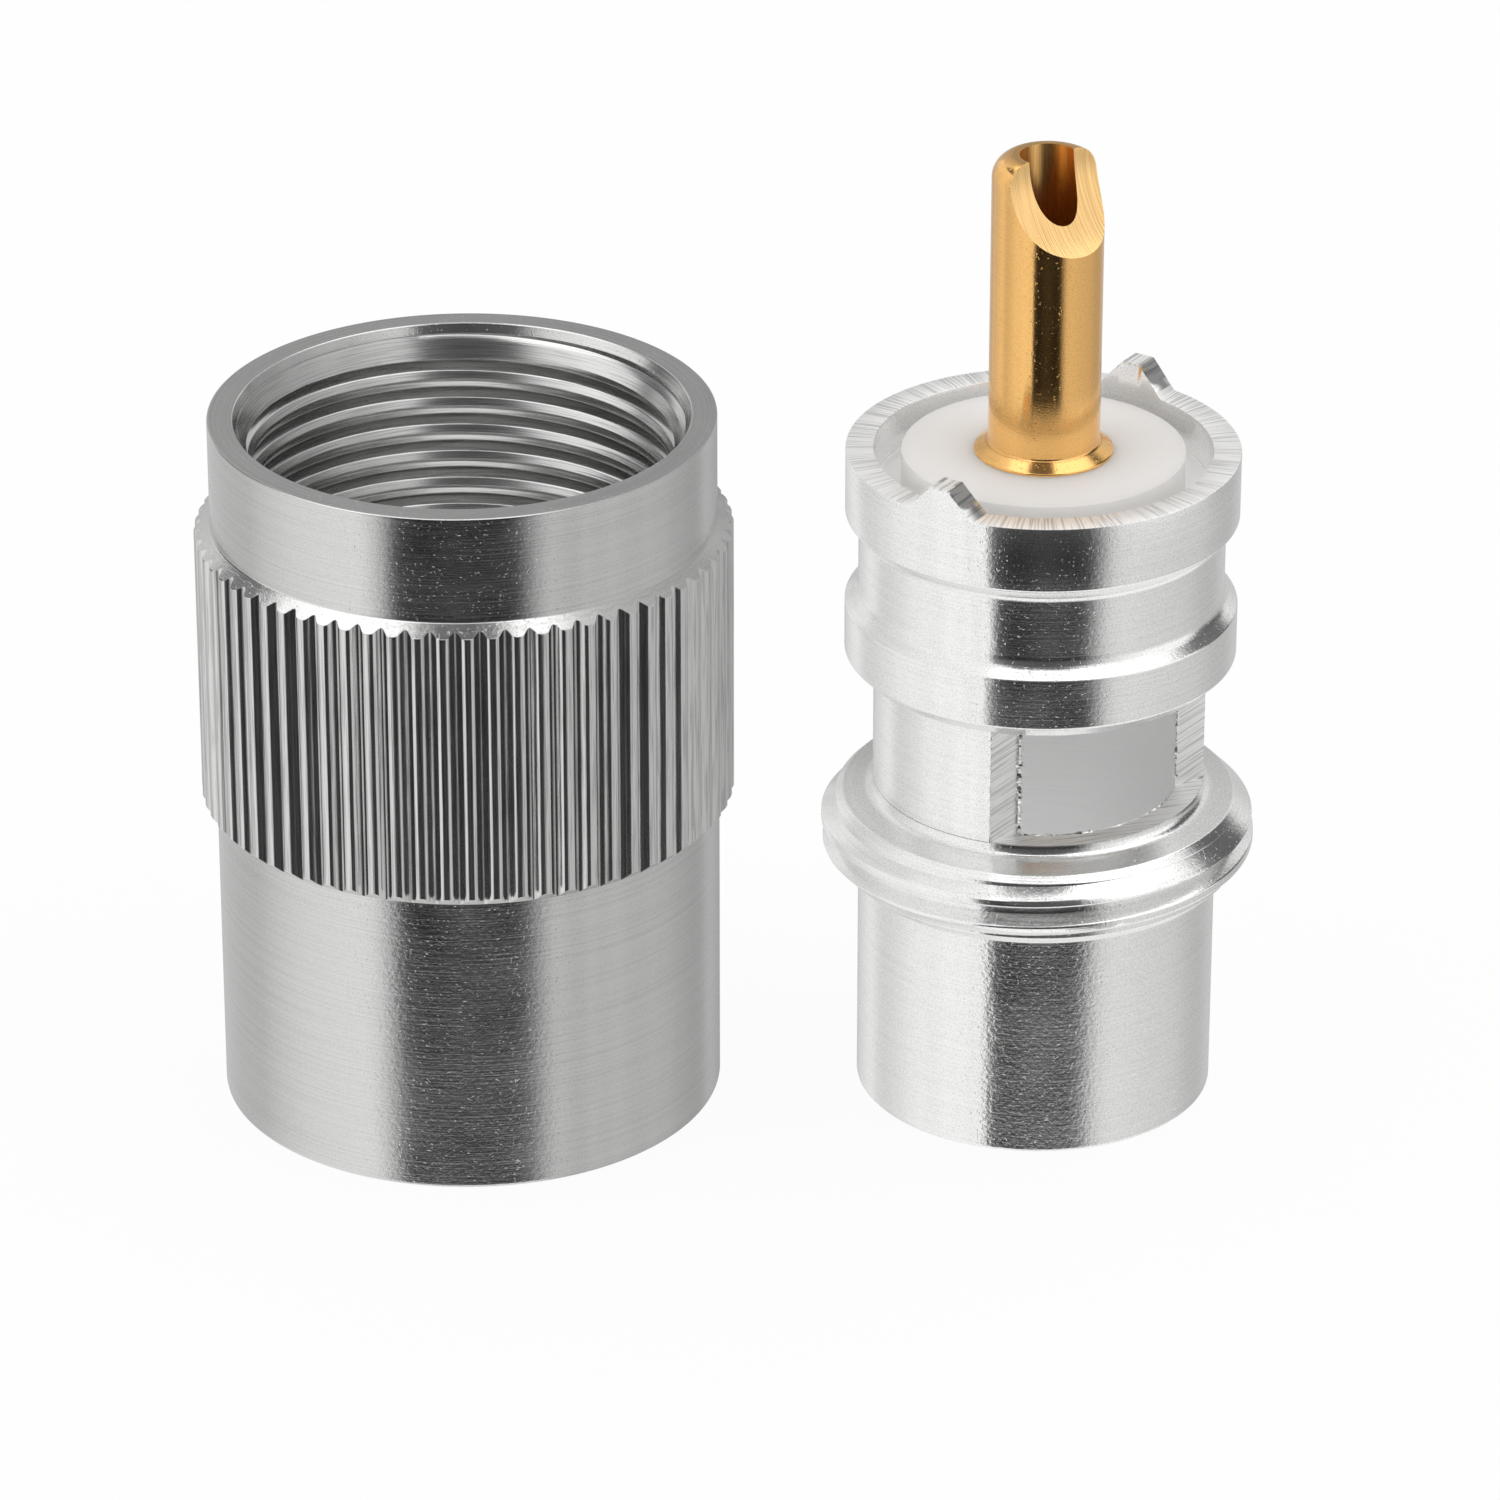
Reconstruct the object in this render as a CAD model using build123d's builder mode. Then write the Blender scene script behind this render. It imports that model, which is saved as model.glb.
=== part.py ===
from build123d import *
import os
from math import cos, radians, sin

# Solder-type UHF coaxial plug, taken apart: the coupling ring stands beside the plug body.
# Millimetres. The origin is on the plug body's axis at its cable end, +Z points to the contact
# pin, and the ring stands towards -X. Azimuths are degrees from the front, -Y, towards +X.

# Coupling thread, 5/8-24, shared by the ring and the flange that the ring passes over
thread_major_r = 15.875 / 2
thread_pitch = 25.4 / 24
thread_height = 0.48 * thread_pitch

# Plug body: a turned shell, listed from the cable end up
tube_r = 6.45
tube_length = 8.75
base_edge = 0.12
cable_bore_r = 5.30
cable_bore_length = 6.00
shell_bore_r = 5.03
flange_thread_allowance = 0.14
flange_length = 2.75
flange_root_r = 6.95
flange_lower_bevel = 0.90
flange_upper_bevel = 0.75
shoulder_r = 7.05
shoulder_rise = 0.25
neck_r = 5.95
neck_length = 5.00
cove_r = 0.30
pilot_r = 7.00
pilot_chamfer = 0.45
rear_pilot_length = 2.75
groove_r = 6.52
groove_length = 2.55
front_pilot_length = 2.85
rim_inner_r = 6.00
rim_recess_depth = 1.55

# Solder windows, one milled flat on each side of the neck
window_azimuth = 33.7
window_flat = 3.64
window_ledge = 0.32
window_ceiling = 0.05

# Locating teeth on the rim
tooth_azimuth = -33.3
tooth_base = 2.60
tooth_top = 0.75
tooth_height = 1.02

# Insulator: a plain plug of fluoropolymer pressed into the shell, free of the rim's recess
insulator_below_rim = 0.05
insulator_length = 7.40
insulator_edge = 0.20

# Contact pin: a hollow turned tube whose thinner stem goes through the insulator
pin_r = 1.98
pin_bore_r = 1.02
pin_reach = 11.15
pin_nose = 0.85
pin_collar_r = 2.47
pin_collar_height = 0.35
pin_collar_edge = 0.25
pin_stem_r = 1.70
pin_tail_length = 1.00
pin_tail_funnel = 0.35

# Solder cut: a round milling cutter sinks into the pin's tip from one side
cut_azimuth = 38.4
cutter_r = 3.90
cut_from_axis = 0.14
cut_above_tip = 0.13

# Coupling ring: one turned and knurled piece, listed from its rear face up. Screwed home, its
# rear lip bears on the plug's flange, and its mouth reaches past the plug's rim.
ring_spacing = 20.52
ring_tube_r = 9.05
ring_tube_length = 11.50
ring_edge = 0.12
knurl_crest_r = 9.58
knurl_depth = 0.28
knurl_count = 68
knurl_groove_share = 0.64
knurl_bevel = 0.25
knurl_length = 10.15
collar_r = 9.00
cone_length = 0.40
ring_reach = 8.05
mouth_r = 8.10
thread_length = 10.00
relief_clearance = 0.11
rear_lip_length = 2.00
rear_hole_clearance = 0.25

# Heights and radii that follow from the sizes above
flange_bottom = tube_length
flange_top = flange_bottom + flange_length
neck_bottom = flange_top + shoulder_rise
neck_top = neck_bottom + neck_length
rear_pilot_top = neck_top + rear_pilot_length
groove_top = rear_pilot_top + groove_length
rim_z = groove_top + front_pilot_length
recess_floor_z = rim_z - rim_recess_depth
face_z = rim_z - insulator_below_rim
insulator_bottom = face_z - insulator_length
pin_bottom = insulator_bottom - pin_tail_length
pin_tip_z = face_z + pin_reach
flange_r = thread_major_r - flange_thread_allowance
thread_minor_r = thread_major_r - thread_height
relief_r = thread_major_r + relief_clearance
rear_hole_r = tube_r + rear_hole_clearance
knurl_bottom = ring_tube_length + knurl_bevel
knurl_top = knurl_bottom + knurl_length
collar_bottom = knurl_top + cone_length
ring_height = rear_lip_length + (rim_z - flange_bottom) + ring_reach
thread_top = ring_height - (mouth_r - thread_minor_r)
thread_bottom = thread_top - thread_length


def towards(azimuth, distance, z):
    """Point at a distance from the plug's axis in the direction of an azimuth."""
    return (distance * sin(radians(azimuth)), -distance * cos(radians(azimuth)), z)


def facing_plane(azimuth, distance, z):
    """Upright plane that looks outwards along an azimuth, its x axis level and its y axis up."""
    return Plane(
        origin=towards(azimuth, distance, z),
        x_dir=towards(azimuth + 90, 1, 0),
        z_dir=towards(azimuth, 1, 0),
    )


# Plug body
with BuildPart() as plug_body:
    with BuildSketch(Plane.XZ) as shell_section:
        with BuildLine():
            Polyline(
                (cable_bore_r, 0),
                (tube_r - base_edge, 0),
                (tube_r, base_edge),
                (tube_r, flange_bottom),
                (flange_root_r, flange_bottom),
                (flange_r, flange_bottom + flange_lower_bevel),
                (flange_r, flange_top - flange_upper_bevel),
                (shoulder_r, flange_top),
                (neck_r, neck_bottom),
                (neck_r, neck_top),
                (pilot_r - pilot_chamfer, neck_top),
                (pilot_r, neck_top + pilot_chamfer),
                (pilot_r, rear_pilot_top - pilot_chamfer),
                (groove_r, rear_pilot_top),
                (groove_r, groove_top),
                (pilot_r, groove_top + pilot_chamfer),
                (pilot_r, rim_z),
                (rim_inner_r, rim_z),
                (rim_inner_r, recess_floor_z),
                (shell_bore_r, recess_floor_z),
                (shell_bore_r, cable_bore_length + cable_bore_r - shell_bore_r),
                (cable_bore_r, cable_bore_length),
                close=True,
            )
        make_face()
        neck_foot = shell_section.vertices().sort_by_distance((neck_r, neck_bottom, 0))[0]
        fillet(neck_foot, cove_r)
    revolve(axis=Axis.Z)

    # A flat on each side of the neck breaks through the wall and leaves a ledge below
    window_bottom = neck_bottom + window_ledge
    window_height = neck_top - window_ceiling - window_bottom
    for side in (0, 180):
        flat = facing_plane(window_azimuth + side, window_flat, window_bottom + window_height / 2)
        with BuildSketch(flat):
            Rectangle(2 * pilot_r, window_height)
        extrude(amount=pilot_r, mode=Mode.SUBTRACT)

    # Two teeth stand on the rim: a bar of their outline right across it, cut to the rim's width
    with BuildSketch(facing_plane(tooth_azimuth, 0, rim_z), mode=Mode.PRIVATE) as tooth_outline:
        with BuildLine():
            Polyline(
                (-tooth_base / 2, 0),
                (-tooth_top / 2, tooth_height),
                (tooth_top / 2, tooth_height),
                (tooth_base / 2, 0),
                close=True,
            )
        make_face()
    with BuildSketch(Plane.XY.offset(rim_z), mode=Mode.PRIVATE) as rim_outline:
        Circle(pilot_r)
        Circle(rim_inner_r, mode=Mode.SUBTRACT)
    tooth_bar = extrude(tooth_outline.sketch, amount=2 * pilot_r, both=True, mode=Mode.PRIVATE)
    rim_band = extrude(rim_outline.sketch, amount=tooth_height, mode=Mode.PRIVATE)
    add(tooth_bar & rim_band)
plug_body.part.label = "plug_body"

# Insulator
with BuildPart() as insulator:
    with BuildSketch(Plane.XZ):
        with BuildLine():
            Polyline(
                (pin_stem_r, insulator_bottom),
                (shell_bore_r - insulator_edge, insulator_bottom),
                (shell_bore_r, insulator_bottom + insulator_edge),
                (shell_bore_r, face_z),
                (pin_stem_r, face_z),
                close=True,
            )
        make_face()
    revolve(axis=Axis.Z)
insulator.part.label = "insulator"

# Contact pin
with BuildPart() as contact_pin:
    with BuildSketch(Plane.XZ) as pin_section:
        with BuildLine():
            Polyline(
                (pin_bore_r + pin_tail_funnel, pin_bottom),
                (pin_stem_r, pin_bottom),
                (pin_stem_r, face_z),
                (pin_collar_r, face_z),
                (pin_collar_r, face_z + pin_collar_height - pin_collar_edge),
                (pin_collar_r - pin_collar_edge, face_z + pin_collar_height),
                (pin_r, face_z + pin_collar_height),
                (pin_r, pin_tip_z),
                (pin_bore_r, pin_tip_z),
                (pin_bore_r, pin_bottom + pin_tail_funnel),
                close=True,
            )
        make_face()
        nose = pin_section.vertices().sort_by_distance((pin_r, pin_tip_z, 0))[0]
        fillet(nose, pin_nose)
    revolve(axis=Axis.Z)

    # The cutter's axis is level and lies beside the tip, so the cut runs down in an arc
    cutter_centre = towards(cut_azimuth, cut_from_axis + cutter_r, pin_tip_z + cut_above_tip)
    with BuildSketch(Plane(origin=cutter_centre, z_dir=towards(cut_azimuth + 90, 1, 0))):
        Circle(cutter_r)
    extrude(amount=2 * pin_r, both=True, mode=Mode.SUBTRACT)
contact_pin.part.label = "contact_pin"

# Coupling ring
with BuildPart() as coupling_ring:
    with BuildSketch(Plane.XZ.move(Location((-ring_spacing, 0, 0)))):
        with BuildLine():
            Polyline(
                (rear_hole_r + ring_edge, 0),
                (ring_tube_r - ring_edge, 0),
                (ring_tube_r, ring_edge),
                (ring_tube_r, ring_tube_length),
                (knurl_crest_r - knurl_bevel, ring_tube_length),
                (knurl_crest_r, knurl_bottom),
                (knurl_crest_r, knurl_top),
                (collar_r, collar_bottom),
                (collar_r, ring_height),
                (mouth_r, ring_height),
                (thread_minor_r, thread_top),
                (thread_minor_r, thread_bottom),
                (relief_r, thread_bottom - (relief_r - thread_minor_r)),
                (relief_r, rear_lip_length),
                (rear_hole_r, rear_lip_length),
                (rear_hole_r, ring_edge),
                close=True,
            )
        make_face()
    revolve(axis=Axis((-ring_spacing, 0, 0), (0, 0, 1)))

    # Straight knurl: vee grooves side by side, cut along the band and out through its cone
    groove_half_turn = radians(knurl_groove_share * 180 / knurl_count)
    groove_mouth_x = knurl_crest_r * cos(groove_half_turn)
    groove_mouth_y = knurl_crest_r * sin(groove_half_turn)
    with BuildSketch(Plane.XY.offset(ring_tube_length).move(Location((-ring_spacing, 0, 0)))):
        with PolarLocations(0, knurl_count):
            with BuildLine():
                Polyline(
                    (knurl_crest_r - knurl_depth, 0),
                    (groove_mouth_x, groove_mouth_y),
                    (knurl_crest_r + knurl_depth, groove_mouth_y),
                    (knurl_crest_r + knurl_depth, -groove_mouth_y),
                    (groove_mouth_x, -groove_mouth_y),
                    close=True,
                )
            make_face()
    extrude(amount=collar_bottom - ring_tube_length, mode=Mode.SUBTRACT)
coupling_ring.part.label = "coupling_ring"

os.makedirs("parts", exist_ok=True)
export_step(plug_body.part, "parts/plug_body.step")
export_step(insulator.part, "parts/insulator.step")
export_step(contact_pin.part, "parts/contact_pin.step")
export_step(coupling_ring.part, "parts/coupling_ring.step")
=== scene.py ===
import math

import bpy
import numpy as np
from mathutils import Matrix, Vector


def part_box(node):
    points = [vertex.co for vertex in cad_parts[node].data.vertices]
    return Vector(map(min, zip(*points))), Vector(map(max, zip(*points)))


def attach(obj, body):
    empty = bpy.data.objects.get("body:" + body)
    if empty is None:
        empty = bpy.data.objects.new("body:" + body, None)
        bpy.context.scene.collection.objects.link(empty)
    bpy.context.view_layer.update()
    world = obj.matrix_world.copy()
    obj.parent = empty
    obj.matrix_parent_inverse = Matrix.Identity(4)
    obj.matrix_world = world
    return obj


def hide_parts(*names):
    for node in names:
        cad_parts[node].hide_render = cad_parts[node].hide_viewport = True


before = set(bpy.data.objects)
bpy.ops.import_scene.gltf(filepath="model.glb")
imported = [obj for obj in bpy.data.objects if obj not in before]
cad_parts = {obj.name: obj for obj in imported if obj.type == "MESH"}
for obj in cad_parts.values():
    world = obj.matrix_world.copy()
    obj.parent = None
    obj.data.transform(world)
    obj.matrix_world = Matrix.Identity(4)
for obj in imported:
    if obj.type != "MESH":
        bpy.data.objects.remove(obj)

bl_info = {
    "name": "UHF Plug",
    "version": (1, 0, 0),
    "blender": (4, 5, 0),
    "location": "View3D > Sidebar > UHF Plug",
    "description": "Solder-type UHF coaxial plug with its coupling ring taken off",
    "category": "Add Mesh",
}

MM = 0.001
TURN = 2 * math.pi

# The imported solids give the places: ring axis, heights of the rim, the insulator and the tip
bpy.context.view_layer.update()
RING_LOW, RING_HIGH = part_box("coupling_ring")
BODY_LOW, BODY_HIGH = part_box("plug_body")
INSULATOR_LOW, INSULATOR_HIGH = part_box("insulator")
PIN_LOW, PIN_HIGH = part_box("contact_pin")


def linear_colour(hex_text):
    """Hex sRGB colour as linear red, green, blue and an alpha of 1."""
    value = np.array([int(hex_text[i:i + 2], 16) for i in (1, 3, 5)]) / 255
    linear = np.where(value <= 0.04045, value / 12.92, ((value + 0.055) / 1.055) ** 2.4)
    return (*linear.tolist(), 1.0)


def length(name, metres, description):
    """Length property with its default in metres."""
    return bpy.props.FloatProperty(
        name=name, description=description, default=metres, min=0.0, unit="LENGTH", precision=5
    )


def turn_angle(name, degrees, description):
    """Angle property with its default in degrees."""
    return bpy.props.FloatProperty(
        name=name, description=description, default=math.radians(degrees), subtype="ANGLE"
    )


def colour(name, hex_text, description):
    """Colour property with its default as a hex sRGB value."""
    return bpy.props.FloatVectorProperty(
        name=name, description=description, default=linear_colour(hex_text),
        size=4, min=0.0, max=1.0, subtype="COLOR"
    )


class ThreadSizes(bpy.types.PropertyGroup):
    """The 5/8-24 coupling thread, in the ring and on the plug's flange"""
    pitch: length("Pitch", 25.4 / 24 * MM, "Rise of the thread in one turn")
    major_radius: length("Major radius", 7.9375 * MM, "Root of the ring's thread")
    minor_radius: length("Minor radius", 7.4295 * MM, "Crest of the ring's thread")
    ring_start: turn_angle("Ring thread start", 100, "Azimuth where the ring's thread begins")
    flange_crest_radius: length("Flange crest", 7.80 * MM, "Crest of the flange's thread")
    flange_root_radius: length("Flange root", 7.29 * MM, "Root of the flange's thread")
    flange_crest_height: length("Flange crest height", 9.68 * MM, "A crest's height at the front")


class RingSizes(bpy.types.PropertyGroup):
    """Coupling ring"""
    axis_x: bpy.props.FloatProperty(
        name="Axis X", description="Place of the ring's axis beside the plug",
        default=(RING_LOW.x + RING_HIGH.x) / 2, unit="LENGTH", precision=5)
    height: length("Height", RING_HIGH.z, "Height of the ring")
    tube_radius: length("Tube radius", 9.05 * MM, "Outside of the plain rear tube")
    tube_length: length("Tube length", 11.50 * MM, "Height of the plain rear tube")
    crest_radius: length("Knurl crest radius", 9.58 * MM, "Outside of the knurl")
    crest_end: length("Knurl end", 21.90 * MM, "Height where the cone begins")
    groove_depth: length("Groove depth", 0.28 * MM, "Depth of the vee grooves")
    tooth_count: bpy.props.IntProperty(
        name="Teeth", description="Teeth of the knurl", default=68, min=8)
    knurl_turn: turn_angle("Knurl turn", 180 / 68, "Azimuth of the first tooth's middle")
    collar_radius: length("Collar radius", 9.00 * MM, "Outside of the smooth collar")
    collar_start: length("Collar start", 22.30 * MM, "Height where the cone ends")
    mouth_radius: length("Mouth radius", 8.10 * MM, "Inner edge of the flat rim")
    mouth_slope: turn_angle("Mouth slope", 26, "Angle between the mouth's chamfer and the axis")
    relief_radius: length("Relief radius", 8.048 * MM, "Bore behind the thread")
    thread_end: length("Thread end", 15.53 * MM, "Lower end of the thread")
    lip_length: length("Rear lip", 2.00 * MM, "Thickness of the lip at the rear")
    rear_hole_radius: length("Rear hole radius", 6.70 * MM, "Hole for the plug's tube")


class BodySizes(bpy.types.PropertyGroup):
    """Plug body"""
    tube_radius: length("Tube radius", 6.45 * MM, "Outside of the cable tube")
    cable_bore_radius: length("Cable bore radius", 5.30 * MM, "Bore at the cable end")
    bore_radius: length("Shell bore radius", 5.03 * MM, "Bore behind the insulator")
    cable_bore_length: length("Cable bore length", 6.00 * MM, "Depth of the wider bore")
    flange_bottom: length("Flange bottom", 8.75 * MM, "Underside of the threaded flange")
    flange_top: length("Flange top", 11.50 * MM, "Upper edge of the threaded flange")
    flange_foot_radius: length("Flange foot radius", 6.95 * MM, "Lower end of the flange's bevel")
    flange_head_radius: length("Flange head radius", 7.05 * MM, "Upper end of the flange's bevel")
    neck_radius: length("Neck radius", 5.95 * MM, "Outside of the neck")
    neck_foot: length("Neck foot", 11.75 * MM, "Height where the neck begins")
    neck_top: length("Neck top", 16.75 * MM, "Height where the neck ends")
    ring_radius: length("Ring radius", 7.00 * MM, "Outside of the two smooth rings")
    ring_chamfer: length("Ring chamfer", 0.45 * MM, "Chamfers beside the rings")
    groove_radius: length("Groove radius", 6.52 * MM, "Bottom of the groove")
    groove_bottom: length("Groove bottom", 19.50 * MM, "Lower end of the groove")
    groove_top: length("Groove top", 22.05 * MM, "Upper end of the groove")
    rim_height: length("Rim height", 24.90 * MM, "Height of the flat rim")
    rim_radius: length("Rim inner radius", 6.00 * MM, "Inner edge of the flat rim")
    recess_depth: length("Recess depth", 1.55 * MM, "Depth of the recess round the insulator")
    window_azimuth: turn_angle("Window azimuth", 33.7, "Direction that a solder window faces")
    window_flat: length("Window flat", 3.64 * MM, "Distance of the milled flats from the axis")
    window_bottom: length("Window bottom", 12.07 * MM, "Height of the window's ledge")
    window_top: length("Window top", 16.70 * MM, "Height of the window's upper edge")
    tooth_azimuth: turn_angle("Tooth azimuth", -33.3, "Direction of the front locating tooth")
    tooth_base: length("Tooth base", 2.60 * MM, "Width of a tooth at the rim")
    tooth_top: length("Tooth top", 0.75 * MM, "Width of a tooth at its top")
    tooth_height: length("Tooth height", 1.02 * MM, "Height of a tooth over the rim")


class PinSizes(bpy.types.PropertyGroup):
    """Contact pin"""
    radius: length("Radius", 1.98 * MM, "Outside of the pin")
    stem_radius: length("Stem radius", 1.70 * MM, "Outside of the stem in the insulator")
    bore_radius: length("Bore radius", 1.02 * MM, "Bore for the cable's core")
    funnel: length("Funnel", 0.35 * MM, "Chamfer at the rear end of the bore")
    bottom: length("Bottom", PIN_LOW.z, "Rear end of the pin")
    tip: length("Tip", PIN_HIGH.z, "Height of the tip")
    nose: length("Nose rounding", 0.85 * MM, "Rounding of the tip")
    collar_radius: length("Collar radius", 2.47 * MM, "Outside of the collar")
    collar_height: length("Collar height", 0.35 * MM, "Height of the collar")
    cut_azimuth: turn_angle("Cut azimuth", 38.4, "Direction that the solder cut faces")
    cutter_radius: length("Cutter radius", 3.90 * MM, "Radius of the solder cut")
    cutter_distance: length("Cutter distance", 4.04 * MM, "Cutter's axis from the pin's axis")
    cutter_height: length("Cutter height", 36.13 * MM, "Height of the cutter's axis")


class Finishes(bpy.types.PropertyGroup):
    """Colours of the plated metals and the insulator"""
    nickel: colour("Nickel", "#DBDBDA", "Nickel plate of the coupling ring")
    silver: colour("Silver", "#F9F9F8", "Silver plate of the plug body")
    # Full white, above the silver's colour: painted light for the shaded bores
    bore: colour("Bore silver", "#FFFFFF", "Untouched silver plate in the plug body's bores")
    gold: colour("Gold", "#FFC87C", "Gold plate of the contact pin")
    # Paler than the gold: a painted highlight on the solder cut
    gold_cut_highlight: colour("Cut gold", "#FFD28F", "Gold plate on the pin's solder cut")
    insulator: colour("Insulator", "#FDFCFA", "White fluoropolymer")
    floor: colour("Floor", "#FAFAFA", "Pale floor")


class StageSizes(bpy.types.PropertyGroup):
    """Camera, floor and light"""
    distance: length("Camera distance", 280 * MM, "Camera from the point it looks at")
    elevation: turn_angle("Camera elevation", 26.33, "Camera's height above the horizon")
    target: bpy.props.FloatVectorProperty(
        name="Target", description="Point that the camera looks at",
        default=(-10.37 * MM, 0.0, 12.96 * MM), unit="LENGTH", precision=5)
    lens: bpy.props.FloatProperty(
        name="Lens", description="Focal length on a 36 mm sensor", default=186.7, min=1.0)
    light: bpy.props.FloatProperty(
        name="Light", description="Strength of the soft studio light", default=1.0, min=0.0)


# Shapes. All sections are (radius, height), listed up the outside, across and down the inside.
# ROWS is the number of points that a rounded corner gives way to, THREAD_STEP the turn between
# two points of a thread, THREAD_FLANK the angle of its flanks to a level plane, and FLANGE_BEVEL
# how much the flange's lower bevel widens with its height.
ROWS = 6
THREAD_STEP = math.radians(2.0)
THREAD_FLANK = math.radians(30)
FLANGE_BEVEL = 0.85 / 0.90


def soften(corners):
    """Closed section from corners of (radius, height, trim), which it rounds. Each corner gives
    way to ROWS points: a quadratic curve that leaves one side and joins the other at the trim
    distance, and one more point on each side just beyond it, so that the flats shade flat."""
    table = np.array(corners, float)
    points, trims = table[:, None, :2], table[:, None, 2:]
    before = np.roll(points, 1, axis=0) - points
    after = np.roll(points, -1, axis=0) - points
    before = trims * before / np.linalg.norm(before, axis=2, keepdims=True)
    after = trims * after / np.linalg.norm(after, axis=2, keepdims=True)
    s = np.linspace(0, 1, ROWS - 2)[None, :, None]
    curve = points + (1 - s) ** 2 * before + s ** 2 * after
    curve = np.concatenate([points + 1.3 * before, curve, points + 1.3 * after], axis=1)
    return curve.reshape(-1, 2)


def turned(radius, height, azimuth, axis_x=0.0):
    """Points of a turned surface: x and y are the radius times the sine and the negative cosine
    of the azimuth, about an upright axis, and z is the height. Arrays broadcast."""
    radius, height, azimuth = np.broadcast_arrays(radius, height, azimuth)
    return np.stack([axis_x + radius * np.sin(azimuth), -radius * np.cos(azimuth), height], axis=-1)


def closed_quads(rows, columns):
    """Quads of a grid that closes both ways, each from a point to the next column and row."""
    index = np.arange(rows * columns).reshape(rows, columns)
    right = np.roll(index, -1, axis=1)
    above = np.roll(index, -1, axis=0)
    return np.stack([index, right, np.roll(right, -1, axis=0), above], axis=-1).reshape(-1, 4)


def tube_quads(index):
    """Quads of an open-ended tube from rows of point numbers that run along it: each from a
    point to the next in its row, and to the row above, with the first row above the last."""
    above = np.roll(index, -1, axis=0)
    quads = np.stack([index[:, :-1], index[:, 1:], above[:, 1:], above[:, :-1]], axis=-1)
    return quads.reshape(-1, 4)


def turned_uv(section, azimuth, reference):
    """UV of each quad's corners in metres: u is the azimuth times a reference radius, and v is
    the distance along the section."""
    steps = np.linalg.norm(np.roll(section, -1, axis=0) - section, axis=1)
    run = np.concatenate([[0.0], np.cumsum(steps)])
    around = np.append(azimuth, azimuth[0] + TURN) * reference
    u0, v0 = np.meshgrid(around[:-1], run[:-1])
    u1, v1 = np.meshgrid(around[1:], run[1:])
    corners = [(u0, v0), (u1, v0), (u1, v1), (u0, v1)]
    return np.stack([np.stack(c, axis=-1) for c in corners], axis=2).reshape(-1, 4, 2)


def new_piece(name, parts, materials, sharp_angle=30):
    """Mesh object from parts of (points, quads, uv, material number). Edges that turn by more
    than the sharp angle stay crisp, and the rest is shaded smooth."""
    old = bpy.data.objects.get(name)
    if old:
        bpy.data.objects.remove(old)
    points = np.concatenate([p[0].reshape(-1, 3) for p in parts])
    starts = np.cumsum([0] + [p[0].size // 3 for p in parts[:-1]])
    quads = np.concatenate([p[1] + start for p, start in zip(parts, starts)])
    uv = np.concatenate([p[2] for p in parts])
    number = np.concatenate([np.broadcast_to(p[3], len(p[1])) for p in parts])
    mesh = bpy.data.meshes.new(name)
    mesh.vertices.add(len(points))
    mesh.vertices.foreach_set("co", points.ravel())
    mesh.loops.add(quads.size)
    mesh.loops.foreach_set("vertex_index", quads.ravel().astype(np.int32))
    mesh.polygons.add(len(quads))
    mesh.polygons.foreach_set("loop_start", np.arange(0, quads.size, 4, dtype=np.int32))
    mesh.polygons.foreach_set("material_index", number.astype(np.int32))
    mesh.uv_layers.new(name="Turned").data.foreach_set("uv", uv.ravel())
    for material in materials:
        mesh.materials.append(material)
    mesh.update(calc_edges=True)
    mesh.validate()
    mesh.shade_smooth()
    mesh.set_sharp_from_angle(angle=math.radians(sharp_angle))
    piece = bpy.data.objects.new(name, mesh)
    bpy.context.scene.collection.objects.link(piece)
    return piece


def helical_ridge(profile, azimuth, height, pitch, limit, low, high, axis_x=0.0):
    """One thread ridge: a closed profile of (radius, rise) carried along a helix whose height
    grows by the pitch in each turn and stays between low and high. limit gives each point's
    radius from its radius and height. Returns points, quads that close the profile and both
    ends, and UV along the turn."""
    turns = azimuth[None, :] / TURN
    z = np.clip(profile[:, 1:] + height + pitch * turns, low, high)
    radius = limit(profile[:, :1] + 0 * turns, z)
    points = turned(radius, z, azimuth[None, :], axis_x)
    count, steps = radius.shape
    walls = tube_quads(np.arange(count * steps).reshape(count, steps))
    left = np.arange(count // 2 - 1)
    first = np.stack([left, left + 1, count - 2 - left, count - 1 - left], axis=-1) * steps
    last = first[:, ::-1] + steps - 1
    quads = np.concatenate([walls, first, last])
    uv = np.zeros((len(quads), 4, 2))
    flat_u = np.broadcast_to(azimuth * profile[0, 0], (count, steps)).ravel()
    uv[..., 0] = flat_u[quads]
    uv[..., 1] = points[..., 2].ravel()[quads] + points.shape[0] * MM
    return points, quads, uv


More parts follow.
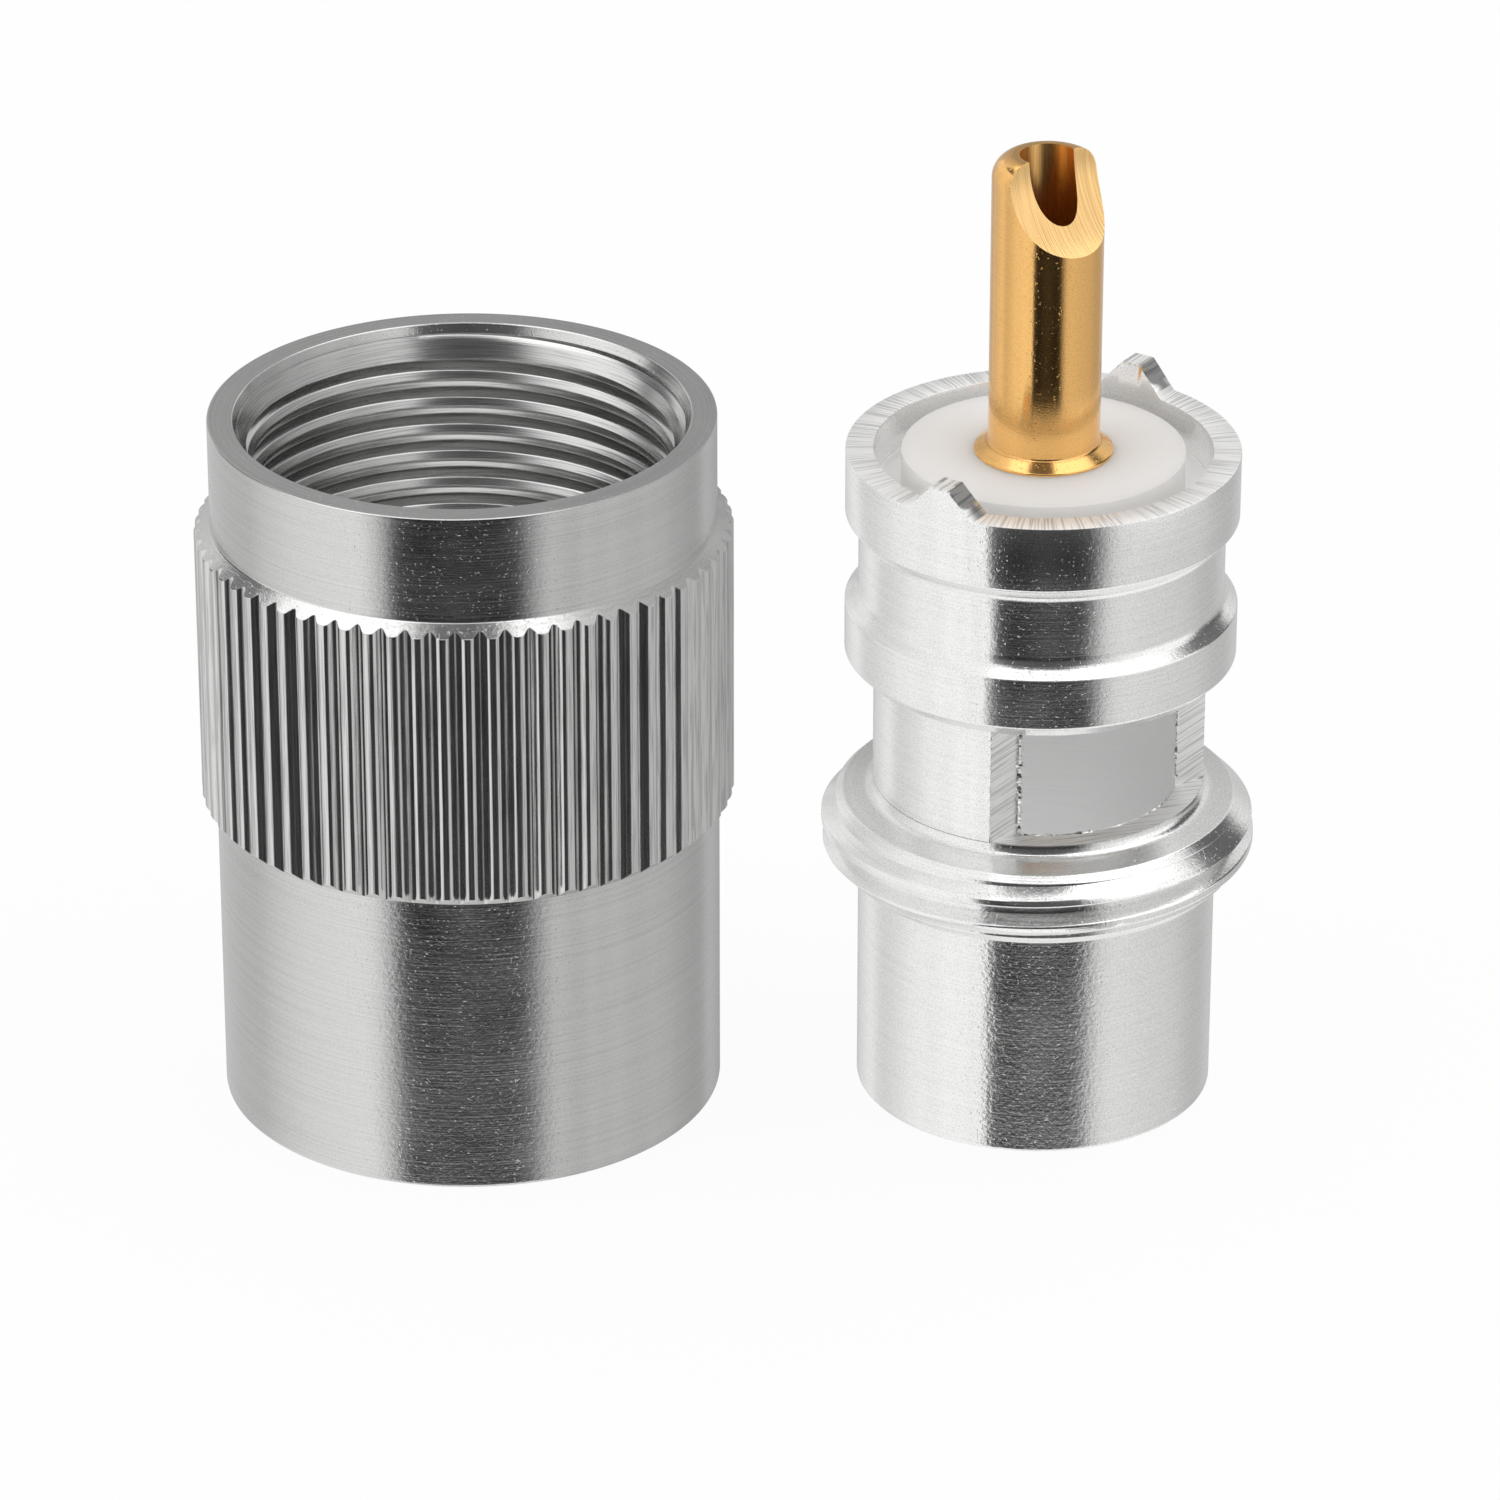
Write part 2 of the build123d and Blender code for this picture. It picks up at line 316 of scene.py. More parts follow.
def burr(path, size, ragged, seed):
    """Thread of metal along a path, as a cutter leaves it on an edge. Six points stand round
    each point of the path, at a radius that varies by chance, up to the ragged share of it,
    and shrinks at both ends."""
    chance = np.random.default_rng(seed)
    count = len(path)
    knots = chance.uniform(0, 1, count // 2 + 2) ** 2
    swell = np.interp(np.linspace(0, len(knots) - 1, count), np.arange(len(knots)), knots)
    ends = np.minimum(np.arange(count), np.arange(count)[::-1]) / 2
    radius = size * (1 - ragged * (1 - swell)) * np.clip(ends, 0.02, 1)
    tangent = np.gradient(path, axis=0)
    tangent /= np.linalg.norm(tangent, axis=1, keepdims=True)
    outward = path * (1, 1, 0)
    outward -= (outward * tangent).sum(axis=1, keepdims=True) * tangent
    outward /= np.linalg.norm(outward, axis=1, keepdims=True)
    third = np.cross(tangent, outward)
    turn = np.arange(6)[:, None, None] * TURN / 6
    wobble = 1 + 0.3 * chance.standard_normal((6, count, 1)).clip(-1.5, 1.5)
    points = path + radius[:, None] * wobble * (np.cos(turn) * outward + np.sin(turn) * third)
    walls = tube_quads(np.arange(6 * count).reshape(6, count))[:, ::-1]
    caps = np.array([[0, 1, 2, 3], [0, 3, 4, 5]]) * count
    quads = np.concatenate([walls, caps[:, ::-1], caps + count - 1])
    return points, quads, np.full((len(quads), 4, 2), MM)


def node_in(tree, kind, settings=None, inputs=None):
    """Adds a node, sets its settings, and fills its inputs with values or links."""
    node = tree.nodes.new(kind)
    for key, value in (settings or {}).items():
        setattr(node, key, value)
    for key, value in (inputs or {}).items():
        if isinstance(value, bpy.types.NodeSocket):
            tree.links.new(value, node.inputs[key])
        else:
            node.inputs[key].default_value = value
    return node


def fresh_material(name):
    """Empty node material of that name, made again if it exists."""
    old = bpy.data.materials.get(name)
    if old:
        bpy.data.materials.remove(old)
    material = bpy.data.materials.new(name)
    material.use_nodes = True
    material.node_tree.nodes.clear()
    return material


def turned_plate(name, base, roughness, line_mm, line_depth_mm, grain_mm, grain_depth_mm,
                 grain_below=None, streaks=1.0, anisotropy=0.5, mottle=0.87):
    """Plated, turned metal: fine tool lines round the piece, a plating grain, dull specks and
    streaks, a few nicks, and roughness that drifts a little. The lines follow the turned UV,
    whose v runs up the section. Above the height grain_below the grain is half as deep. The
    streaks' weight is against the specks', and the dullest spots keep the mottle share of the
    colour."""
    material = fresh_material(name)
    tree = material.node_tree
    uv = node_in(tree, "ShaderNodeUVMap", {"uv_map": "Turned"})
    place = node_in(tree, "ShaderNodeTexCoord")
    lines_at = node_in(tree, "ShaderNodeMapping", inputs={
        "Vector": uv.outputs["UV"], "Scale": (1 / (14 * MM), 1 / (line_mm * MM), 1.0)})
    lines = node_in(tree, "ShaderNodeTexNoise", {"noise_dimensions": "2D"}, {
        "Vector": lines_at.outputs["Vector"], "Scale": 1.0, "Detail": 4.0, "Roughness": 0.6})
    grain = node_in(tree, "ShaderNodeTexNoise", inputs={
        "Vector": place.outputs["Object"], "Scale": 1 / (grain_mm * MM), "Detail": 3.0,
        "Roughness": 0.55})
    line_bump = node_in(tree, "ShaderNodeBump", inputs={
        "Strength": 1.0, "Distance": line_depth_mm * MM, "Height": lines.outputs["Fac"]})
    grain_height = grain.outputs["Fac"]
    if grain_below is not None:
        split = node_in(tree, "ShaderNodeSeparateXYZ", inputs={"Vector": place.outputs["Object"]})
        low_part = node_in(tree, "ShaderNodeMapRange", {"interpolation_type": "SMOOTHSTEP"}, {
            "Value": split.outputs["Z"], "From Min": grain_below,
            "From Max": grain_below - 0.3 * MM, "To Min": 0.5, "To Max": 1.0})
        grain_height = node_in(tree, "ShaderNodeMath", {"operation": "MULTIPLY"}, {
            0: grain.outputs["Fac"], 1: low_part.outputs["Result"]}).outputs["Value"]
    grain_bump = node_in(tree, "ShaderNodeBump", inputs={
        "Strength": 1.0, "Distance": grain_depth_mm * MM, "Height": grain_height,
        "Normal": line_bump.outputs["Normal"]})
    nick_spots = node_in(tree, "ShaderNodeTexNoise", inputs={
        "Vector": place.outputs["Object"], "Scale": 1 / (0.11 * MM), "Detail": 1.0})
    nicks = node_in(tree, "ShaderNodeMapRange", inputs={
        "Value": nick_spots.outputs["Fac"], "From Min": 0.66, "From Max": 0.80})
    nick_bump = node_in(tree, "ShaderNodeBump", {"invert": True}, {
        "Strength": 1.0, "Distance": 0.005 * MM, "Height": nicks.outputs["Result"],
        "Normal": grain_bump.outputs["Normal"]})
    drift = node_in(tree, "ShaderNodeTexNoise", inputs={
        "Vector": place.outputs["Object"], "Scale": 1 / (3 * MM), "Detail": 4.0})
    roughness_at = node_in(tree, "ShaderNodeMapRange", inputs={
        "Value": drift.outputs["Fac"], "From Min": 0.3, "From Max": 0.7,
        "To Min": roughness * 0.8, "To Max": roughness * 1.25})
    along = node_in(tree, "ShaderNodeTangent", {"direction_type": "UV_MAP", "uv_map": "Turned"})
    specks = node_in(tree, "ShaderNodeTexNoise", inputs={
        "Vector": place.outputs["Object"], "Scale": 1 / (0.05 * MM), "Detail": 1.0})
    both = node_in(tree, "ShaderNodeMath", {"operation": "MULTIPLY_ADD"}, {
        0: lines.outputs["Fac"], 1: streaks, 2: specks.outputs["Fac"]})
    dull = node_in(tree, "ShaderNodeMapRange", inputs={
        "Value": both.outputs["Value"], "From Min": 0.375 * (1 + streaks),
        "From Max": 0.55 * (1 + streaks)})
    tint = node_in(tree, "ShaderNodeMix", {"data_type": "RGBA"}, {
        0: dull.outputs["Result"], 6: (*(mottle * part for part in base[:3]), 1.0), 7: tuple(base)})
    shader = node_in(tree, "ShaderNodeBsdfPrincipled", inputs={
        "Base Color": tint.outputs[2], "Metallic": 1.0, "Roughness": roughness_at.outputs["Result"],
        "Anisotropic": anisotropy, "Anisotropic Rotation": 0.25, "Tangent": along.outputs["Tangent"],
        "Normal": nick_bump.outputs["Normal"]})
    node_in(tree, "ShaderNodeOutputMaterial", inputs={"Surface": shader.outputs["BSDF"]})
    return material


def milled_plate(name, base, roughness, line_mm, line_depth_mm, dark=0.6):
    """Plated metal as a cutter leaves it: straight ridges along the first UV axis, whose
    valleys are dull and darker."""
    material = fresh_material(name)
    tree = material.node_tree
    uv = node_in(tree, "ShaderNodeUVMap", {"uv_map": "Turned"})
    lines_at = node_in(tree, "ShaderNodeMapping", inputs={
        "Vector": uv.outputs["UV"], "Scale": (1 / (3 * MM), 1 / (line_mm * MM), 1.0)})
    lines = node_in(tree, "ShaderNodeTexNoise", {"noise_dimensions": "2D"}, {
        "Vector": lines_at.outputs["Vector"], "Scale": 1.0, "Detail": 3.0})
    bump = node_in(tree, "ShaderNodeBump", inputs={
        "Strength": 1.0, "Distance": line_depth_mm * MM, "Height": lines.outputs["Fac"]})
    valleys = node_in(tree, "ShaderNodeMapRange", inputs={
        "Value": lines.outputs["Fac"], "From Min": 0.36, "From Max": 0.52})
    tint = node_in(tree, "ShaderNodeMix", {"data_type": "RGBA"}, {
        0: valleys.outputs["Result"], 6: (*(dark * part for part in base[:3]), 1.0), 7: tuple(base)})
    shader = node_in(tree, "ShaderNodeBsdfPrincipled", inputs={
        "Base Color": tint.outputs[2], "Metallic": 1.0, "Roughness": roughness,
        "Normal": bump.outputs["Normal"]})
    node_in(tree, "ShaderNodeOutputMaterial", inputs={"Surface": shader.outputs["BSDF"]})
    return material


def fluoropolymer(base):
    """Turned fluoropolymer: milky white, waxy, with light that spreads a little under the skin
    and a faint unevenness that the facing tool leaves in so soft a plastic."""
    material = fresh_material("white_fluoropolymer")
    tree = material.node_tree
    place = node_in(tree, "ShaderNodeTexCoord")
    waves = node_in(tree, "ShaderNodeTexNoise", inputs={
        "Vector": place.outputs["Object"], "Scale": 1 / (0.6 * MM), "Detail": 4.0})
    bump = node_in(tree, "ShaderNodeBump", inputs={
        "Strength": 0.6, "Distance": 0.01 * MM, "Height": waves.outputs["Fac"]})
    shader = node_in(tree, "ShaderNodeBsdfPrincipled", inputs={
        "Base Color": tuple(base), "Roughness": 0.42, "IOR": 1.35,
        "Subsurface Weight": 0.8, "Subsurface Radius": (1.0, 0.95, 0.9),
        "Subsurface Scale": 1.8 * MM, "Normal": bump.outputs["Normal"]})
    node_in(tree, "ShaderNodeOutputMaterial", inputs={"Surface": shader.outputs["BSDF"]})
    return material


class UHF_OT_coupling_ring(bpy.types.Operator):
    """Make the knurled coupling ring with its inner thread"""
    bl_idname = "uhf.coupling_ring"
    bl_label = "Coupling Ring"

    def execute(self, context):
        ring = context.scene.uhf_ring
        thread = context.scene.uhf_thread
        nickel = context.scene.uhf_finishes.nickel
        # Nickel on turned brass is a soft grey mirror, a little uneven on the plain tube
        plate = turned_plate(
            "nickel_plate", nickel, roughness=0.17, line_mm=0.09, line_depth_mm=0.0040,
            grain_mm=0.16, grain_depth_mm=0.0060, grain_below=ring.tube_length)
        # The knurling tool's strokes run up the teeth, and the thread's run round with its turns
        knurled = milled_plate("knurled_nickel_plate", nickel, 0.18, 0.07, 0.003, 0.75)
        cut = milled_plate("threaded_nickel_plate", nickel, 0.22, 0.05, 0.004, 0.80)
        piece = new_piece("coupling_ring_nickel", [self.shell(ring, thread)], [plate, knurled])
        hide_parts("coupling_ring")
        ridge = new_piece("coupling_ring_thread_nickel", [(*self.thread(ring, thread), 0)], [cut])
        for made in (piece, ridge):
            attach(made, "ring")
        return {"FINISHED"}

    def shell(self, ring, thread):
        """The turned shell. Over the knurl the radius is the crest's less a groove's depth,
        which grows from each tooth's rounded edge down a steep flank to a narrow root, and the
        rows that bound the band follow the cone and the bevel, so grooves run out in scallops."""
        edge = 0.06 * MM
        root = ring.crest_radius - ring.groove_depth
        bevel_radius = root - 0.03 * MM
        mouth_top = ring.height
        mouth_width = ring.mouth_radius - thread.major_radius
        chamfer_foot = mouth_top - mouth_width / math.tan(ring.mouth_slope)
        corners = [
            (ring.tube_radius, 0.0, 0.10 * MM),
            (ring.tube_radius, ring.tube_length, 0.02 * MM),
            (bevel_radius, ring.tube_length, 0.02 * MM),
            (ring.crest_radius, ring.tube_length + ring.crest_radius - bevel_radius, 0.02 * MM),
            (ring.crest_radius, ring.crest_end, 0.04 * MM),
            (ring.collar_radius, ring.collar_start, 0.05 * MM),
            (ring.collar_radius, mouth_top, edge),
            (ring.mouth_radius, mouth_top, 0.04 * MM),
            (thread.major_radius, chamfer_foot, 0.02 * MM),
            (thread.major_radius, ring.thread_end, 0.02 * MM),
            (ring.relief_radius, ring.thread_end - 0.11 * MM, 0.02 * MM),
            (ring.relief_radius, ring.lip_length, 0.08 * MM),
            (ring.rear_hole_radius, ring.lip_length, 0.04 * MM),
            (ring.rear_hole_radius, 0.0, 0.08 * MM),
        ]
        section = soften(corners)
        # Places across a tooth from its middle, as shares of its width, and the groove's depth there
        parts = np.array([
            -0.5, -0.41, -0.32, -0.24, -0.21, -0.12, -0.09, 0.0, 0.09, 0.12, 0.21, 0.24, 0.32, 0.41])
        across = [0, 0.09, 0.12, 0.21, 0.24, 0.41, 0.5]
        share = np.interp(np.abs(parts), across, [0, 0, 0.02, 0.14, 0.22, 0.87, 1.0])
        teeth = np.arange(ring.tooth_count)
        azimuth = ((teeth[:, None] + parts) * TURN / ring.tooth_count).ravel() + ring.knurl_turn
        chance = np.random.default_rng(11)
        groove_scale = 1 + 0.05 * chance.standard_normal(ring.tooth_count)
        nearest = np.where(parts < 0, teeth[:, None], teeth[:, None] + 1) % ring.tooth_count
        depth = (share * groove_scale[nearest]).ravel() * ring.groove_depth
        groove = ring.crest_radius - depth
        radius = np.repeat(section[:, :1], len(azimuth), axis=1)
        height = np.repeat(section[:, 1:], len(azimuth), axis=1)
        # The knurled band lies between corners 3 and 4. Their rows move in to the groove along
        # the bevel below and the cone above.
        slope = (ring.collar_start - ring.crest_end) / (ring.crest_radius - ring.collar_radius)
        low, high = slice(3 * ROWS, 4 * ROWS), slice(4 * ROWS, 5 * ROWS)
        height[low] += np.minimum(radius[low], groove) - radius[low]
        height[high] -= (np.minimum(radius[high], groove) - radius[high]) * slope
        both = slice(low.start, high.stop)
        radius[both] = np.minimum(radius[both], groove)
        points = turned(radius, height, azimuth[None, :], ring.axis_x)
        quads = closed_quads(*radius.shape)
        uv = turned_uv(section, azimuth, ring.crest_radius)
        number = np.zeros(radius.shape, int)
        number[low.stop - 2:high.start + 1] = 1
        number = number.ravel()
        uv[number == 1] = uv[number == 1][..., ::-1]
        return points, quads, uv, number

    def thread(self, ring, thread):
        """The inner thread: a ridge whose flanks stand 60 degrees apart and give way to
        shallower facets beside a narrow crest, held back by the mouth's chamfer."""
        crest = 0.05 * thread.pitch
        round_off = 0.14 * MM
        facet = math.radians(28)
        wall = thread.major_radius + 0.03 * MM
        shoulder = crest + round_off / math.tan(facet)
        base = shoulder + (wall - thread.minor_radius - round_off) * math.tan(THREAD_FLANK)
        half = [
            (wall, base, 0.01 * MM), (thread.minor_radius + round_off, shoulder, 0.03 * MM),
            (thread.minor_radius, crest, 0.03 * MM)]
        profile = soften([*half, *((radius, -z, size) for radius, z, size in reversed(half))])
        turns = (ring.height - ring.thread_end) / thread.pitch
        azimuth = np.arange(0.3 * TURN, (turns + 0.3) * TURN, THREAD_STEP) + thread.ring_start
        start = ring.thread_end - thread.pitch * thread.ring_start / TURN

        def limit(radius, z):
            chamfer = ring.mouth_radius - (ring.height - z) * math.tan(ring.mouth_slope)
            return np.maximum(radius, chamfer + 0.02 * MM * (chamfer > thread.major_radius))

        return helical_ridge(
            profile, azimuth, start, thread.pitch, limit, ring.thread_end, ring.height - 0.05 * MM,
            ring.axis_x)


class UHF_OT_plug_body(bpy.types.Operator):
    """Make the silver plated plug body with its windows, teeth and threaded flange"""
    bl_idname = "uhf.plug_body"
    bl_label = "Plug Body"

    def execute(self, context):
        body = context.scene.uhf_body
        thread = context.scene.uhf_thread
        silver = context.scene.uhf_finishes.silver
        # Silver on turned brass is a bright mirror under a fine grain and dull specks
        plate = turned_plate(
            "silver_plate", silver, roughness=0.18, line_mm=0.09, line_depth_mm=0.0036,
            grain_mm=0.15, grain_depth_mm=0.0100, grain_below=body.flange_bottom, streaks=0.4,
            mottle=0.84)
        # The cutter leaves the windows and the rim matte, and coarse strokes on the teeth's slopes
        milled = milled_plate("milled_silver_plate", silver, 0.58, 0.08, 0.008, 0.72)
        toothed = milled_plate("broached_silver_plate", silver, 0.30, 0.12, 0.010, 0.55)
        # Silver in the bores wasn't burnished and stays dull. Its colour is full white, above the outer
        # plate's, as painted light in the shaded bore
        bore = context.scene.uhf_finishes.bore
        bored = milled_plate("bored_silver_plate", bore, 0.64, 0.10, 0.003, 0.98)
        parts = [
            *self.shell(body, thread), *self.burrs(body), (*self.flange_thread(body, thread), 0)]
        piece = new_piece("plug_body_silver", parts, [plate, milled, bored, toothed])
        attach(piece, "plug")
        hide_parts("plug_body")
        return {"FINISHED"}

    def tooth_edges(self, body, radius):
        """Azimuths of a tooth's four edges from its middle: arc sines of their distance sideways
        over the radius."""
        edges = np.array([-body.tooth_base, -body.tooth_top, body.tooth_top, body.tooth_base])
        return np.arcsin(edges / 2 / radius)

    def columns(self, body):
        """Azimuths of the grid's columns and of the lines they have to follow: the windows'
        edges and the teeth's edges. Returns columns and lines, in radians at the outside."""
        window_half = math.acos(body.window_flat / body.neck_radius)
        lines = np.concatenate([
            body.tooth_azimuth + self.tooth_edges(body, body.ring_radius),
            body.window_azimuth + np.array([-window_half, window_half])])
        lines = np.concatenate([lines, lines + math.pi])
        bounds = np.append(lines, lines[0] + TURN)
        step = math.radians(1.2)
        spans = [
            np.linspace(low, high, max(3, round((high - low) / step)), endpoint=False)
            for low, high in zip(bounds[:-1], bounds[1:])]
        return np.concatenate(spans), lines

    def shell(self, body, thread):
        """The turned shell as a grid of section rows and azimuth columns. Each row's columns
        are shifted so that they meet the windows' and teeth's edges at that row's radius. A
        window is a patch left out of the outer and the inner wall, with flat faces between."""
        columns, lines = self.columns(body)
        levels = np.linspace(body.window_bottom, body.window_top, 13)
        steps = len(levels) - 1
        root = thread.flange_root_radius
        root_bottom = body.flange_bottom + (root - body.flange_foot_radius) / FLANGE_BEVEL
        root_top = body.flange_top - (root - body.flange_head_radius)
        bore_step = body.cable_bore_length + body.cable_bore_radius - body.bore_radius
        rim = body.rim_height
        floor = rim - body.recess_depth
        edge = 0.05 * MM
        chamfer = body.ring_chamfer
        corners = [
            (body.tube_radius, 0.0, 0.10 * MM),
            (body.tube_radius, body.flange_bottom, 0.03 * MM),
            (body.flange_foot_radius, body.flange_bottom, 0.02 * MM),
            (root, root_bottom, 0.02 * MM),
            (root, root_top, 0.02 * MM),
            (body.flange_head_radius, body.flange_top, 0.04 * MM),
            (body.neck_radius, body.neck_foot, 0.28 * MM),
            (body.neck_radius, body.neck_top, 0.03 * MM),
            (body.ring_radius - chamfer, body.neck_top, 0.04 * MM),
            (body.ring_radius, body.neck_top + chamfer, 0.05 * MM),
            (body.ring_radius, body.groove_bottom - chamfer, 0.05 * MM),
            (body.groove_radius, body.groove_bottom, 0.22 * MM),
            (body.groove_radius, body.groove_top, 0.15 * MM),
            (body.ring_radius, body.groove_top + chamfer, 0.05 * MM),
            (body.ring_radius, rim, 0.02 * MM),
            (body.rim_radius, rim, 0.02 * MM),
            (body.rim_radius, floor, 0.06 * MM),
            (body.bore_radius, floor, 0.02 * MM),
            (body.bore_radius, bore_step, 0.05 * MM),
            (body.cable_bore_radius, body.cable_bore_length, 0.05 * MM),
            (body.cable_bore_radius, 0.0, 0.10 * MM),
        ]
        section = soften(corners)
        # Rows with a finer layout: the rim's take the place of corners 14 and 15, and the windows'
        # levels are put in before corner 7 on the outside and before corner 18 in the bore
        rim_start = 14 * ROWS
        section = np.delete(section, np.arange(rim_start, rim_start + 2 * ROWS), axis=0)
        rim_rows = np.array([
            (body.ring_radius, rim - edge),
            (body.ring_radius - 0.3 * edge, rim - 0.3 * edge),
            (body.ring_radius - edge, rim),
            ((body.ring_radius + body.rim_radius) / 2, rim),
            (body.rim_radius + edge, rim),
            (body.rim_radius + 0.3 * edge, rim - 0.3 * edge),
            (body.rim_radius, rim - edge)])
        section = np.insert(section, [rim_start] * len(rim_rows), rim_rows, axis=0)
        outer_at = 7 * ROWS
        outer_rows = np.stack([body.neck_radius + 0 * levels, levels], axis=-1)
        section = np.insert(section, [outer_at] * len(levels), outer_rows, axis=0)
        rim_start += len(levels)
        rim_end = rim_start + len(rim_rows)
        inner_at = rim_end + 2 * ROWS
        inner_rows = np.stack([body.bore_radius + 0 * levels, levels[::-1]], axis=-1)
        section = np.insert(section, [inner_at] * len(levels), inner_rows, axis=0)

        # Where each row's columns go: teeth edges by the rim's radius, window edges by the wall
        rows = np.arange(len(section))
        tooth_radius = np.where(rows < rim_start, body.ring_radius, body.rim_radius)
        band = slice(rim_start, rim_end)
        tooth_radius[band] = section[band, 0]
        wall_radius = np.where(rows >= inner_at, body.bore_radius, body.neck_radius)
        window_half = np.arccos(body.window_flat / wall_radius)[:, None]
        moved = np.concatenate([
            body.tooth_azimuth + self.tooth_edges(body, tooth_radius[:, None]),
            body.window_azimuth - window_half, body.window_azimuth + window_half], axis=1)
        moved = np.concatenate([moved, moved + math.pi], axis=1)
        source = np.append(lines, lines[0] + TURN)
        target = np.append(moved, moved[:, :1] + TURN, axis=1)
        span = np.searchsorted(source, columns, side="right") - 1
        share = (columns - source[span]) / (source[span + 1] - source[span])
        azimuth = target[:, span] + share * (target[:, span + 1] - target[:, span])

        # Teeth: straight bars across the rim, so their height depends on the distance sideways
        radius = np.repeat(section[:, :1], len(columns), axis=1)
        height = np.repeat(section[:, 1:], len(columns), axis=1)
        sideways = np.abs(radius[band] * np.sin(azimuth[band] - body.tooth_azimuth))
        slope_width = (body.tooth_base - body.tooth_top) / 2
        rise = body.tooth_height * np.clip((body.tooth_base / 2 - sideways) / slope_width, 0, 1)
        shoulder = 1 - edge / body.tooth_height
        height[band] += rise * np.array([0, shoulder, 1, 1, 1, shoulder, 0])[:, None]
        points = turned(radius, height, azimuth)

        quads = closed_quads(*radius.shape).reshape(len(section), len(columns), 4)
        uv = turned_uv(section, columns, body.ring_radius).reshape(len(section), len(columns), 4, 2)
        keep = np.ones((len(section), len(columns)), bool)
        index = np.arange(radius.size).reshape(radius.shape)
        outer = index[outer_at:outer_at + steps + 1]
        inner = index[inner_at:inner_at + steps + 1][::-1]
        half = math.acos(body.window_flat / body.neck_radius)

        def column_at(azimuth):
            """The column nearest to an azimuth."""
            return int(np.argmin(np.abs(np.angle(np.exp(1j * (columns - azimuth))))))

        milled = []
        for side in (0.0, math.pi):
            left = column_at(body.window_azimuth - half + side)
            right = column_at(body.window_azimuth + half + side)
            inside = np.arange(left, right if right > left else right + len(columns)) % len(columns)
            keep[outer_at:outer_at + steps, inside] = False
            keep[inner_at:inner_at + steps, inside] = False
            for column, order in ((left, (0, 1, 2, 3)), (right, (1, 0, 3, 2))):
                o, i = outer[:, column], inner[:, column]
                milled.append(np.stack([o[:-1], i[:-1], i[1:], o[1:]], axis=-1)[:, order])
            after = np.roll(inside, -1)
            after[-1] = right
            for one, other in ((outer[0], inner[0]), (inner[-1], outer[-1])):
                milled.append(np.stack([one[inside], one[after], other[after], other[inside]], axis=-1))
        milled = np.concatenate(milled)
        flat = points.reshape(-1, 3)[milled]
        sine, cosine = math.sin(body.window_azimuth), math.cos(body.window_azimuth)
        along = flat[..., 0] * cosine + flat[..., 1] * sine
        through = flat[..., 0] * sine - flat[..., 1] * cosine
        milled_uv = np.stack([along, flat[..., 2] + through - 0.33 * along], axis=-1)
        # The rim's flat and the teeth are milled, the teeth's slopes broached, the inside bored
        number = np.zeros(keep.shape, int)
        number[rim_end:] = 2
        flat_rim = slice(rim_start + 1, rim_end - 2)
        number[flat_rim] = 1
        rim_rise = rise[1:-2]
        sloped = (rim_rise > 0.02 * MM) & (np.roll(rim_rise, -1, axis=1) != rim_rise)
        number[flat_rim][sloped] = 3
        uv[flat_rim] = uv[flat_rim, :, :, ::-1]
        none = np.zeros((0, 3))
        return [
            (points, quads[keep], uv[keep], number[keep]),
            (none, milled - points.size // 3, milled_uv, 1)]

    def burrs(self, body):
        """Burrs that the cutter left round each window: up both inner edges and along the
        ledge, and a finer one on the outer left edge."""
        inner = math.acos(body.window_flat / body.bore_radius)
        outer = math.acos(body.window_flat / body.neck_radius)
        low, high = body.window_bottom, body.window_top
        rise = np.linspace(low, high, 90)
        sweep = np.linspace(-inner, inner, 110)
        made = []
        for side in (0.0, math.pi):
            middle = body.window_azimuth + side
            for seed, (radius, height, azimuth, size, ragged) in enumerate((
                    (body.bore_radius, rise, middle - inner + 0 * rise, 0.15 * MM, 0.45),
                    (body.bore_radius, rise, middle + inner + 0 * rise, 0.11 * MM, 0.9),
                    (body.bore_radius, low + 0 * sweep, middle + sweep, 0.09 * MM, 0.9),
                    (body.neck_radius, rise, middle - outer + 0 * rise, 0.04 * MM, 0.9))):
                made.append((*burr(turned(radius, height, azimuth), size, ragged, 5 + seed), 0))
        return made

    def flange_thread(self, body, thread):
        """The flange's outer thread: a ridge whose flanks stand 60 degrees apart, held back by
        the bevels above and below."""
        crest = thread.pitch / 16 + 0.08 * MM
        wall = thread.flange_root_radius - 0.03 * MM
        top = thread.flange_crest_radius
        base = crest + (top - wall) * math.tan(THREAD_FLANK)
        profile = soften([
            (wall, -base, 0.01 * MM), (top, -crest, 0.05 * MM),
            (top, crest, 0.05 * MM), (wall, base, 0.01 * MM)])
        azimuth = np.arange(-1.35 * TURN, 1.55 * TURN, THREAD_STEP)

        def limit(radius, z):
            lower = body.flange_foot_radius + (z - body.flange_bottom) * FLANGE_BEVEL
            upper = body.flange_head_radius + (body.flange_top - z)
            cone = np.minimum(lower, upper)
            hidden = 0.02 * MM * (cone < thread.flange_root_radius)
            return np.minimum(radius, cone - hidden)

        return helical_ridge(
            profile, azimuth, thread.flange_crest_height, thread.pitch, limit,
            body.flange_bottom + 0.05 * MM, body.flange_top - 0.05 * MM)


